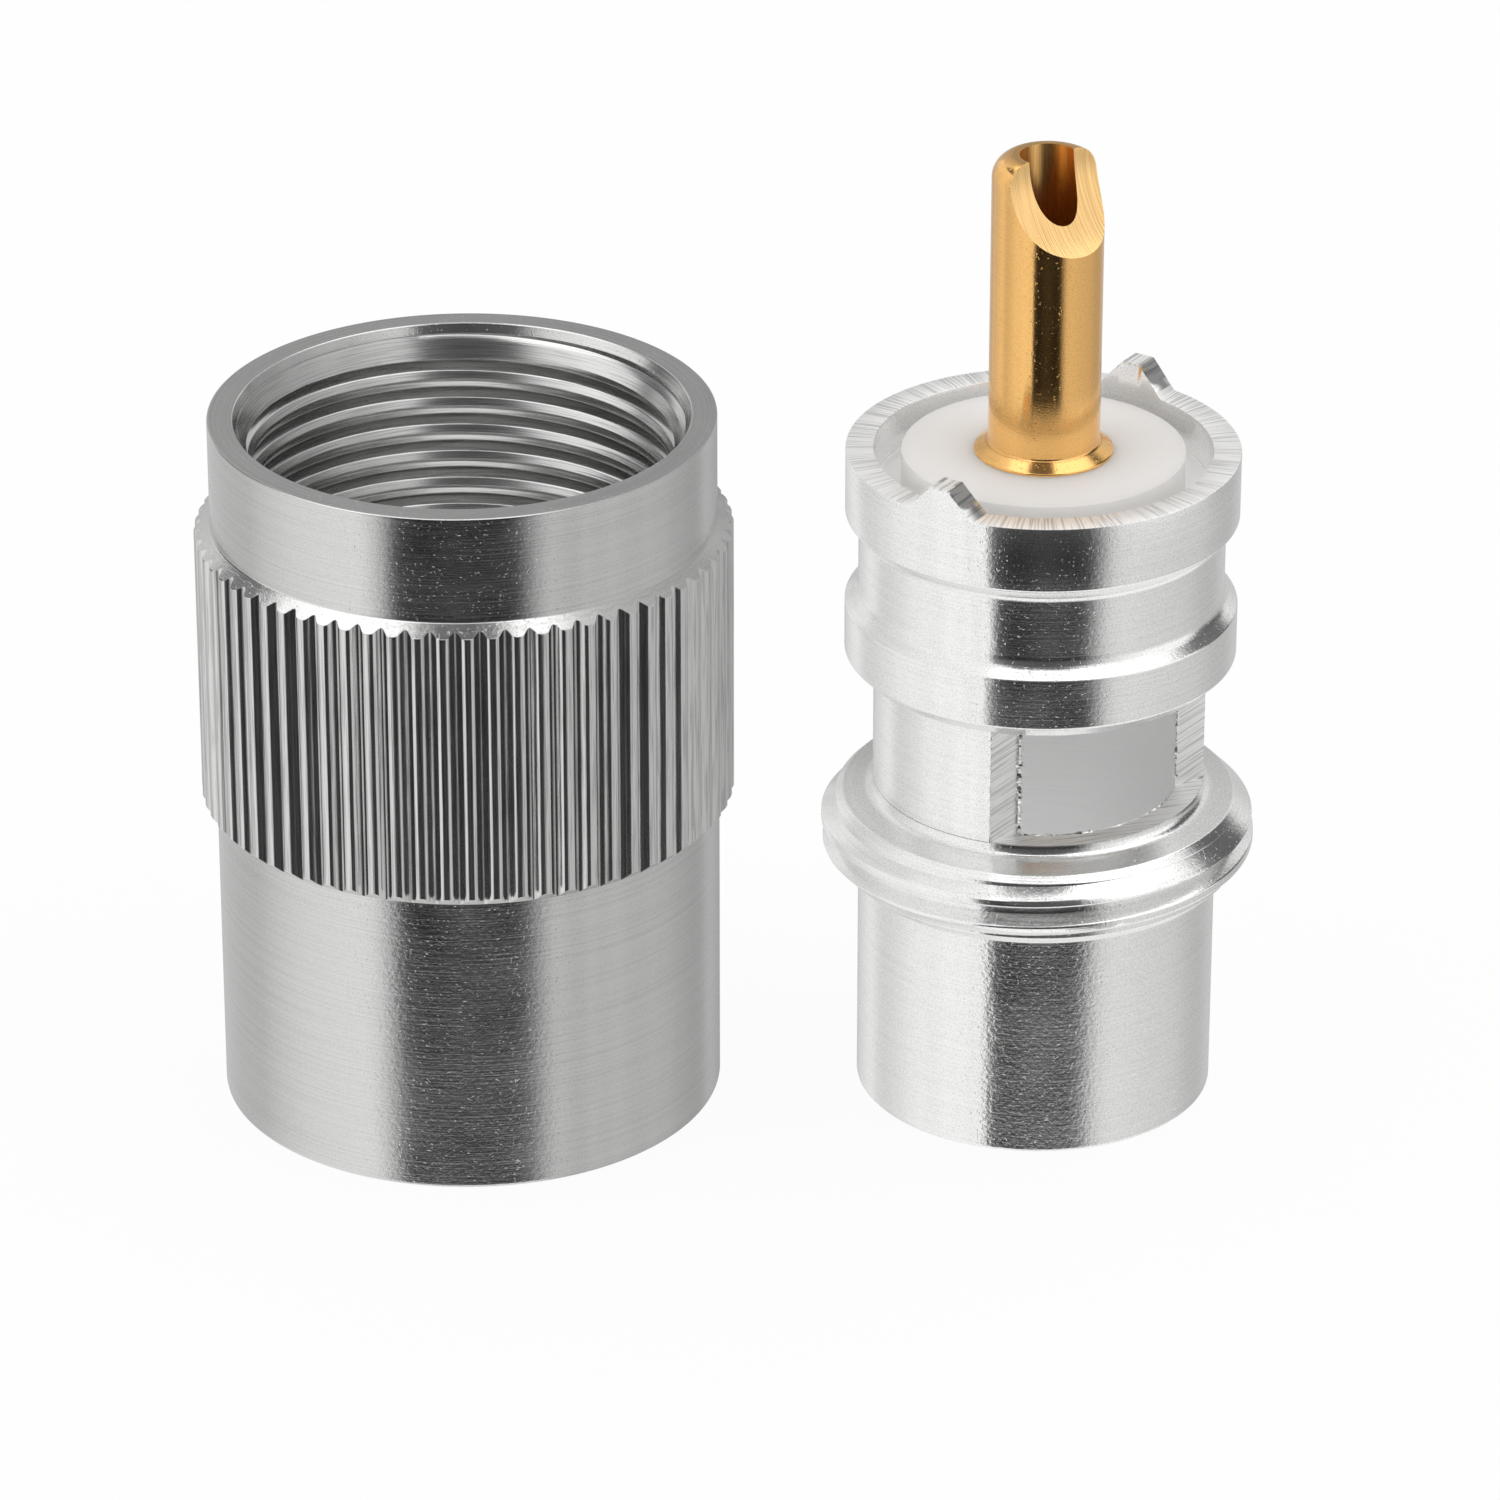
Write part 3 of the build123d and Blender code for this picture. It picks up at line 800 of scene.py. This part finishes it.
class UHF_OT_insulator(bpy.types.Operator):
    """Make the white insulator"""
    bl_idname = "uhf.insulator"
    bl_label = "Insulator"

    def execute(self, context):
        pin = context.scene.uhf_pin
        outer = (INSULATOR_HIGH.x - INSULATOR_LOW.x) / 2
        section = soften([
            (outer, INSULATOR_LOW.z, 0.20 * MM),
            (outer, INSULATOR_HIGH.z, 0.03 * MM),
            (pin.stem_radius, INSULATOR_HIGH.z, 0.03 * MM),
            (pin.stem_radius, INSULATOR_LOW.z, 0.10 * MM)])
        azimuth = np.linspace(0, TURN, 240, endpoint=False)
        points = turned(section[:, :1], section[:, 1:], azimuth[None, :])
        quads = closed_quads(len(section), len(azimuth))
        uv = turned_uv(section, azimuth, outer)
        plastic = fluoropolymer(context.scene.uhf_finishes.insulator)
        piece = new_piece("insulator_white", [(points, quads, uv, 0)], [plastic])
        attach(piece, "plug")
        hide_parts("insulator")
        return {"FINISHED"}


class UHF_OT_contact_pin(bpy.types.Operator):
    """Make the gold plated contact pin with its round solder cut"""
    bl_idname = "uhf.contact_pin"
    bl_label = "Contact Pin"

    def execute(self, context):
        gold = context.scene.uhf_finishes.gold
        gold_cut_highlight = context.scene.uhf_finishes.gold_cut_highlight
        # Gold on turned brass is a warm mirror. The cutter's strokes make the cut satin, and its paler
        # colour is a painted highlight
        plate = turned_plate(
            "gold_plate", gold, roughness=0.14, line_mm=0.05, line_depth_mm=0.0012,
            grain_mm=0.1, grain_depth_mm=0.0016, streaks=0.6)
        milled = milled_plate("milled_gold_plate", gold_cut_highlight, 0.26, 0.07, 0.006, 0.80)
        bored = milled_plate("bored_gold_plate", gold, 0.30, 0.07, 0.004, 0.85)
        parts = [self.tube(context.scene.uhf_pin)]
        piece = new_piece("contact_pin_gold", parts, [plate, milled, bored])
        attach(piece, "plug")
        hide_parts("contact_pin")
        return {"FINISHED"}

    def tube(self, pin):
        """The hollow pin as a grid. Its top is the lower of two heights at each point: the
        rounded nose, and the round cut, whose height is the cutter's axis less the half chord
        at that distance from the axis. The outer wall ends where its top begins."""
        edge = math.radians(86)
        fan = edge * np.sin(np.linspace(0, math.pi / 2, 60, endpoint=False))
        rest = np.linspace(edge, TURN - edge, 80, endpoint=False)
        last_fan = edge * np.sin(np.linspace(math.pi / 2, 0, 60, endpoint=False))
        azimuth = np.concatenate([fan, rest, TURN - last_fan])

        def top(radius):
            """Heights of the top at a radius, one for each azimuth."""
            nose = nose_height(radius, pin)
            inset = pin.cutter_distance - radius * np.cos(azimuth)
            chord = np.sqrt(np.maximum(pin.cutter_radius ** 2 - inset ** 2, 0))
            cut = np.minimum(nose, pin.cutter_height - chord)
            return np.where(inset < pin.cutter_radius, cut, nose)

        face = INSULATOR_HIGH.z
        collar = face + pin.collar_height
        outside = [
            (pin.bore_radius + pin.funnel, pin.bottom, 0.03 * MM),
            (pin.stem_radius, pin.bottom, 0.05 * MM),
            (pin.stem_radius, face - 0.05 * MM, 0.02 * MM),
            (pin.collar_radius, face - 0.05 * MM, 0.02 * MM),
            (pin.collar_radius, face + 0.08 * MM, 0.04 * MM),
            (pin.radius + 0.16 * MM, collar - 0.06 * MM, 0.10 * MM),
            (pin.radius, collar + 0.04 * MM, 0.06 * MM)]
        inside = [
            (pin.radius, pin.tip - 2 * MM, 0.01 * MM),
            (pin.bore_radius, pin.tip - 2 * MM, 0.01 * MM),
            (pin.bore_radius, pin.bottom + pin.funnel, 0.05 * MM)]
        # The two corners near the tip only lead the sides up. The grid's own rows take their place
        lower = soften(outside + inside)
        count = ROWS * len(outside)
        before, behind = lower[:count], lower[count + 2 * ROWS:]
        wall_foot, bore_foot = before[-1, 1], behind[0, 1]
        wall_share = np.linspace(0.04, 1, 14)[:, None]
        wall_height = wall_foot + wall_share * (top(pin.radius) - wall_foot)
        arc = np.linspace(0, math.pi / 2, 22)[1:, None]
        arc_radius = pin.radius - pin.nose + pin.nose * np.cos(arc)
        land_width = pin.radius - pin.nose - pin.bore_radius
        land_radius = np.linspace(1, 0, 4)[1:, None] * land_width + pin.bore_radius
        crown_radius = np.concatenate([arc_radius, land_radius])
        crown_height = top(crown_radius)
        bore_share = np.linspace(0.03, 0.9, 8)[:, None]
        bore_height = crown_height[-1] + bore_share * (bore_foot - crown_height[-1])
        rows = [
            (before[:, :1], before[:, 1:]), (pin.radius + 0 * wall_share, wall_height),
            (crown_radius, crown_height), (pin.bore_radius + 0 * bore_share, bore_height),
            (behind[:, :1], behind[:, 1:])]
        radius = np.concatenate([row_radius + 0 * azimuth for row_radius, row_height in rows])
        height = np.concatenate([row_height + 0 * azimuth for row_radius, row_height in rows])
        points = turned(radius, height, azimuth[None, :] + pin.cut_azimuth)
        quads = closed_quads(*radius.shape)
        opposite = len(azimuth) // 2
        section = np.stack([radius[:, opposite], height[:, opposite]], axis=-1)
        uv = turned_uv(section, azimuth, pin.radius)
        # The cut takes the milled finish and the bore the bored one, with strokes that run down
        first = count + len(wall_share) - 1
        last = first + len(crown_radius)
        number = np.zeros(radius.shape, int)
        number[first:last] = height[first:last] < nose_height(radius[first:last], pin) - 0.004 * MM
        number[last:last + len(bore_share) + 1] = 2
        number = number.ravel()
        across = (radius * np.sin(azimuth)).ravel()[quads]
        uv[number > 0] = np.stack([height.ravel()[quads], across], axis=-1)[number > 0]
        return points, quads, uv, number


def nose_height(radius, pin):
    """Height of the rounded nose at a radius: the tip, less what a quarter circle drops."""
    reach = np.clip(radius - (pin.radius - pin.nose), 0, pin.nose)
    return pin.tip - pin.nose + np.sqrt(np.maximum(pin.nose ** 2 - reach ** 2, 0))


# Brightness of the surroundings by azimuth, in degrees from the camera's side towards +X. A
# vertical wall sees it at twice its own azimuth: soft panels left and right, a dark gap between.
BELOW_HORIZON = (
    (-180, 0.62), (-150, 0.64), (-130, 0.62), (-112, 0.62), (-100, 0.75), (-80, 0.90), (-60, 0.97),
    (-44, 1.0), (-35, 0.60), (-30, 0.05), (-18, 0.015), (0, 0.04), (18, 0.02), (27, 0.04), (33, 0.38),
    (40, 0.70), (52, 0.74), (72, 0.68), (100, 0.62), (118, 0.52), (134, 0.50), (150, 0.58),
    (180, 0.62))
ABOVE_HORIZON = (
    (-180, 0.36), (-160, 0.60), (-138, 0.85), (-132, 0.20), (-108, 0.16), (-98, 1.0),
    (-70, 1.15), (-42, 0.90), (-27, 0.12), (0, 0.08), (24, 0.12), (40, 0.80), (70, 1.10),
    (98, 1.0), (108, 0.12), (132, 0.12), (138, 0.85), (160, 0.62), (180, 0.36))


class UHF_OT_stage(bpy.types.Operator):
    """Make the floor, the soft studio light and the camera"""
    bl_idname = "uhf.stage"
    bl_label = "Stage"

    def execute(self, context):
        self.floor(context)
        self.card(context)
        self.light(context)
        self.camera(context)
        context.scene.view_settings.view_transform = "Standard"
        return {"FINISHED"}

    def floor(self, context):
        """A large pale sheet. What the camera sees of it is mostly plain white, and the rest
        takes the pieces' soft shadow."""
        side = 2.0
        white_share = 0.93
        corners = [(-side, -side, 0), (side, -side, 0), (side, side, 0), (-side, side, 0)]
        mesh = bpy.data.meshes.new("floor")
        mesh.from_pydata(corners, [], [(0, 1, 2, 3)])
        floor = bpy.data.objects.new("floor", mesh)
        context.scene.collection.objects.link(floor)
        material = fresh_material("pale_floor")
        tree = material.node_tree
        paper = node_in(tree, "ShaderNodeBsdfDiffuse", inputs={
            "Color": tuple(context.scene.uhf_finishes.floor)})
        white = node_in(tree, "ShaderNodeEmission", inputs={"Color": (1, 1, 1, 1), "Strength": 1.0})
        ray = node_in(tree, "ShaderNodeLightPath")
        seen = node_in(tree, "ShaderNodeMath", {"operation": "MAXIMUM"}, {
            0: ray.outputs["Is Camera Ray"], 1: ray.outputs["Is Glossy Ray"]})
        share = node_in(tree, "ShaderNodeMath", {"operation": "MULTIPLY"}, {
            0: seen.outputs["Value"], 1: white_share})
        mix = node_in(tree, "ShaderNodeMixShader", inputs={
            0: share.outputs["Value"], 1: paper.outputs["BSDF"], 2: white.outputs["Emission"]})
        node_in(tree, "ShaderNodeOutputMaterial", inputs={"Surface": mix.outputs["Shader"]})
        mesh.materials.append(material)
        floor.visible_glossy = False

    def card(self, context):
        """Glowing sheet between the two pieces that only reflections see: a painted reflection of a
        side panel where the other piece stands. Each piece shows the side panel in its flank, as if the
        other one weren't there."""
        x = (RING_HIGH.x + BODY_LOW.x) / 2
        reach, top = 18 * MM, 42 * MM
        dim_end, bright_end = 14 * MM, -12 * MM
        fade_start, fade_end = 30 * MM, 44 * MM
        corners = [(x, reach, -top), (x, -reach, -top), (x, -reach, top), (x, reach, top)]
        mesh = bpy.data.meshes.new("painted_reflection_card")
        mesh.from_pydata(corners, [], [(0, 1, 2, 3)])
        card = bpy.data.objects.new("painted_reflection_card", mesh)
        context.scene.collection.objects.link(card)
        material = fresh_material("painted_reflection_card")
        tree = material.node_tree
        place = node_in(tree, "ShaderNodeTexCoord")
        split = node_in(tree, "ShaderNodeSeparateXYZ", inputs={"Vector": place.outputs["Object"]})
        side = node_in(tree, "ShaderNodeNewGeometry")
        along = node_in(tree, "ShaderNodeMapRange", {"interpolation_type": "SMOOTHSTEP"}, {
            "Value": split.outputs["Y"], "From Min": dim_end, "From Max": bright_end,
            "To Min": 0.58, "To Max": 0.95})
        # The ring sees the card's dimmer face and the plug body its brighter one
        facing = node_in(tree, "ShaderNodeMapRange", inputs={
            "Value": side.outputs["Backfacing"], "To Min": 0.67, "To Max": 1.02})
        # Painted shade of folds in the sheet's glow, on a flat plane
        painted_fold_noise = node_in(tree, "ShaderNodeTexNoise", {"noise_dimensions": "1D"}, {
            "W": split.outputs["Y"], "Scale": 1 / (5 * MM), "Detail": 2.0})
        painted_fold_level = node_in(tree, "ShaderNodeMapRange", inputs={
            "Value": painted_fold_noise.outputs["Fac"], "From Min": 0.3, "From Max": 0.7, "To Min": 0.82,
            "To Max": 1.14})
        even = node_in(tree, "ShaderNodeMath", {"operation": "MULTIPLY"}, {
            0: along.outputs["Result"], 1: facing.outputs["Result"]})
        low = node_in(tree, "ShaderNodeMath", {"operation": "MULTIPLY"}, {
            0: even.outputs["Value"], 1: painted_fold_level.outputs["Result"]})
        rise = node_in(tree, "ShaderNodeMapRange", {"interpolation_type": "SMOOTHSTEP"}, {
            "Value": split.outputs["Z"], "From Min": fade_start, "From Max": fade_end,
            "To Min": low.outputs["Value"], "To Max": 1.0})
        white = node_in(tree, "ShaderNodeEmission", inputs={
            "Color": (1, 1, 1, 1), "Strength": rise.outputs["Result"]})
        node_in(tree, "ShaderNodeOutputMaterial", inputs={"Surface": white.outputs["Emission"]})
        mesh.materials.append(material)
        for kind in ("camera", "diffuse", "shadow", "transmission", "volume_scatter"):
            setattr(card, "visible_" + kind, False)

    def light(self, context):
        """Soft light from all round: a ramp by azimuth for the low surroundings, another for
        the high ones, and a bright ceiling."""
        world = bpy.data.worlds.new("studio")
        context.scene.world = world
        world.use_nodes = True
        tree = world.node_tree
        tree.nodes.clear()
        place = node_in(tree, "ShaderNodeTexCoord")
        split = node_in(tree, "ShaderNodeSeparateXYZ", inputs={"Vector": place.outputs["Generated"]})
        forward = node_in(tree, "ShaderNodeMath", {"operation": "MULTIPLY"}, {
            0: split.outputs["Y"], 1: -1.0})
        azimuth = node_in(tree, "ShaderNodeMath", {"operation": "ARCTAN2"}, {
            0: split.outputs["X"], 1: forward.outputs["Value"]})
        along = node_in(tree, "ShaderNodeMapRange", inputs={
            "Value": azimuth.outputs["Value"], "From Min": -math.pi, "From Max": math.pi})
        ramps = []
        for stops in (BELOW_HORIZON, ABOVE_HORIZON):
            ramp = node_in(tree, "ShaderNodeValToRGB", inputs={0: along.outputs["Result"]})
            elements = ramp.color_ramp.elements
            while len(elements) < len(stops):
                elements.new(0.5)
            for element, (degrees, value) in zip(elements, stops):
                element.position = (degrees + 180) / 360
                element.color = (value, value, value, 1)
            ramps.append(ramp.outputs["Color"])

        def mixed(low, high, colour_below, colour_above, source="Z"):
            """Goes over from one colour to the other between two values of a direction's part."""
            share = node_in(tree, "ShaderNodeMapRange", {"interpolation_type": "SMOOTHSTEP"}, {
                "Value": split.outputs[source], "From Min": low, "From Max": high})
            return node_in(tree, "ShaderNodeMix", {"data_type": "RGBA"}, {
                0: share.outputs["Result"], 6: colour_below, 7: colour_above}).outputs[2]

        # Bounds are parts of a direction of length 1. The ceiling is bright, with a dark slot over
        # the pieces, a bright bar in front of that, and a dark gap at the camera's side
        bright, dim = (1.6, 1.6, 1.6, 1), (0.16, 0.16, 0.16, 1)
        walls = mixed(-0.2, 0.12, ramps[0], ramps[1])
        grounded = mixed(-0.68, -0.52, (1.0, 1.0, 1.0, 1), walls)
        slot = mixed(0.12, 0.19, mixed(-0.22, -0.17, bright, dim, "X"), bright, "X")
        gap = mixed(0.24, 0.32, mixed(-0.32, -0.24, bright, dim, "X"), bright, "X")
        front = mixed(-0.54, -0.47, gap, bright, "Y")
        overhead = mixed(-0.34, -0.26, front, mixed(0.2, 0.35, slot, (1.5, 1.5, 1.5, 1), "Y"), "Y")
        sky = mixed(0.66, 0.78, grounded, overhead)
        glow = node_in(tree, "ShaderNodeBackground", inputs={
            "Color": sky, "Strength": context.scene.uhf_stage.light})
        node_in(tree, "ShaderNodeOutputWorld", inputs={"Surface": glow.outputs["Background"]})

    def camera(self, context):
        """The camera, level from side to side. It stands before its target and above it, by the
        distance times the cosine and the sine of its elevation."""
        stage = context.scene.uhf_stage
        lens = bpy.data.cameras.new("camera")
        lens.lens = stage.lens
        lens.sensor_width = 36.0
        lens.clip_start = 0.01
        camera = bpy.data.objects.new("camera", lens)
        camera.location = (
            stage.target[0],
            stage.target[1] - stage.distance * math.cos(stage.elevation),
            stage.target[2] + stage.distance * math.sin(stage.elevation))
        camera.rotation_euler = (math.pi / 2 - stage.elevation, 0.0, 0.0)
        context.scene.collection.objects.link(camera)
        context.scene.camera = camera


class UHF_PT_panel(bpy.types.Panel):
    """Lists the plug's pieces"""
    bl_label = "UHF Plug"
    bl_idname = "UHF_PT_panel"
    bl_space_type = "VIEW_3D"
    bl_region_type = "UI"
    bl_category = "UHF Plug"

    def draw(self, context):
        for operator in OPERATORS:
            self.layout.operator(operator.bl_idname)
        for name in GROUPS:
            group = getattr(context.scene, name)
            box = self.layout.box()
            for key in group.__annotations__:
                box.prop(group, key)


GROUPS = {
    "uhf_thread": ThreadSizes,
    "uhf_ring": RingSizes,
    "uhf_body": BodySizes,
    "uhf_pin": PinSizes,
    "uhf_finishes": Finishes,
    "uhf_stage": StageSizes,
}
OPERATORS = (
    UHF_OT_coupling_ring, UHF_OT_plug_body, UHF_OT_insulator, UHF_OT_contact_pin, UHF_OT_stage)


def register():
    for group in (*GROUPS.values(), *OPERATORS, UHF_PT_panel):
        bpy.utils.register_class(group)
    for name, group in GROUPS.items():
        setattr(bpy.types.Scene, name, bpy.props.PointerProperty(type=group))


def unregister():
    for name in GROUPS:
        delattr(bpy.types.Scene, name)
    for group in (UHF_PT_panel, *reversed(OPERATORS), *reversed(GROUPS.values())):
        bpy.utils.unregister_class(group)


def main():
    register()
    bpy.ops.uhf.stage()
    bpy.ops.uhf.coupling_ring()
    bpy.ops.uhf.plug_body()
    bpy.ops.uhf.insulator()
    bpy.ops.uhf.contact_pin()


if __name__ == "__main__":
    main()
